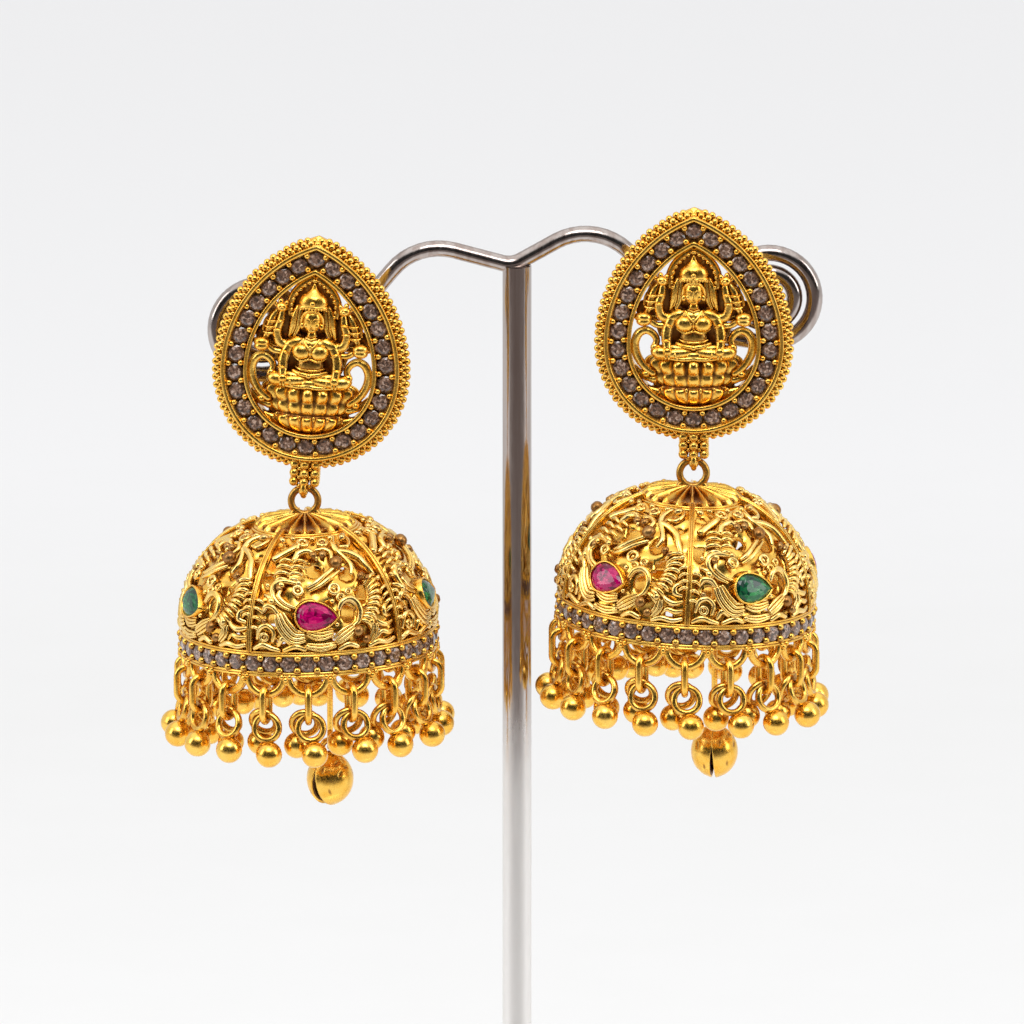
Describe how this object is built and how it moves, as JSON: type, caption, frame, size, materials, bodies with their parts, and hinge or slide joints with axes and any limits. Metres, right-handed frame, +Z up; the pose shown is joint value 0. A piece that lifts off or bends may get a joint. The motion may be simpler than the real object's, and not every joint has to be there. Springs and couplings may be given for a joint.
{
  "type": "jhumka earrings on display stand",
  "caption": "Pair of bell-shaped jhumka earrings with gem-set filigree domes and fringes of ringed balls, hung on a bent-wire display stand with a round foot.",
  "frame": {"origin": "centre of the flat underside of the stand's foot", "axes": "+Z up along the post, front of the earrings towards -Y, +X to the viewer's right"},
  "size_m": [0.076, 0.076, 0.1267],
  "materials": {
    "chrome_steel": "polished plating with soft brown-grey reflections",
    "antique_gold": "antique gold plating, bright on raised edges and dark brown in recesses",
    "red_gem": "faceted magenta-red stone",
    "green_gem": "faceted deep green stone",
    "pale_stone": "small round brilliant stones, smoky lilac-grey"
  },
  "bodies": {
    "stand": {"stand_base": "chrome_steel", "stand_frame": "chrome_steel", "left_stud": "antique_gold", "left_ear_nut": "antique_gold", "right_stud": "antique_gold", "right_ear_nut": "antique_gold"},
    "left_drop": {"left_dome": "antique_gold", "left_gem_1": "red_gem", "left_gem_2": "green_gem", "left_gem_3": "red_gem", "left_gem_4": "red_gem", "left_gem_5": "green_gem", "left_ball_drop_1": "antique_gold", "left_ball_drop_2": "antique_gold", "left_ball_drop_3": "antique_gold", "left_ball_drop_4": "antique_gold", "left_ball_drop_5": "antique_gold", "left_ball_drop_6": "antique_gold", "left_ball_drop_7": "antique_gold", "left_ball_drop_8": "antique_gold", "left_ball_drop_9": "antique_gold", "left_ball_drop_10": "antique_gold", "left_ball_drop_11": "antique_gold", "left_ball_drop_12": "antique_gold", "left_ball_drop_13": "antique_gold", "left_ball_drop_14": "antique_gold", "left_ball_drop_15": "antique_gold", "left_ball_drop_16": "antique_gold", "left_ball_drop_17": "antique_gold", "left_ball_drop_18": "antique_gold", "left_bell_link": "antique_gold", "left_bell": "antique_gold"},
    "right_drop": {"right_dome": "antique_gold", "right_gem_1": "green_gem", "right_gem_2": "red_gem", "right_gem_3": "green_gem", "right_gem_4": "green_gem", "right_gem_5": "red_gem", "right_ball_drop_1": "antique_gold", "right_ball_drop_2": "antique_gold", "right_ball_drop_3": "antique_gold", "right_ball_drop_4": "antique_gold", "right_ball_drop_5": "antique_gold", "right_ball_drop_6": "antique_gold", "right_ball_drop_7": "antique_gold", "right_ball_drop_8": "antique_gold", "right_ball_drop_9": "antique_gold", "right_ball_drop_10": "antique_gold", "right_ball_drop_11": "antique_gold", "right_ball_drop_12": "antique_gold", "right_ball_drop_13": "antique_gold", "right_ball_drop_14": "antique_gold", "right_ball_drop_15": "antique_gold", "right_ball_drop_16": "antique_gold", "right_ball_drop_17": "antique_gold", "right_ball_drop_18": "antique_gold", "right_bell_link": "antique_gold", "right_bell": "antique_gold"}
  },
  "joints": [
    {"name": "left_swing", "type": "hinge", "parent": "stand", "child": "left_drop", "pos_m": [-0.02125, -0.0036, 0.09799], "axis": [1, 0, 0], "range_deg": [-40, 40]},
    {"name": "right_swing", "type": "hinge", "parent": "stand", "child": "right_drop", "pos_m": [0.01765, -0.0036, 0.10082], "axis": [1, 0, 0], "range_deg": [-40, 40]}
  ]
}
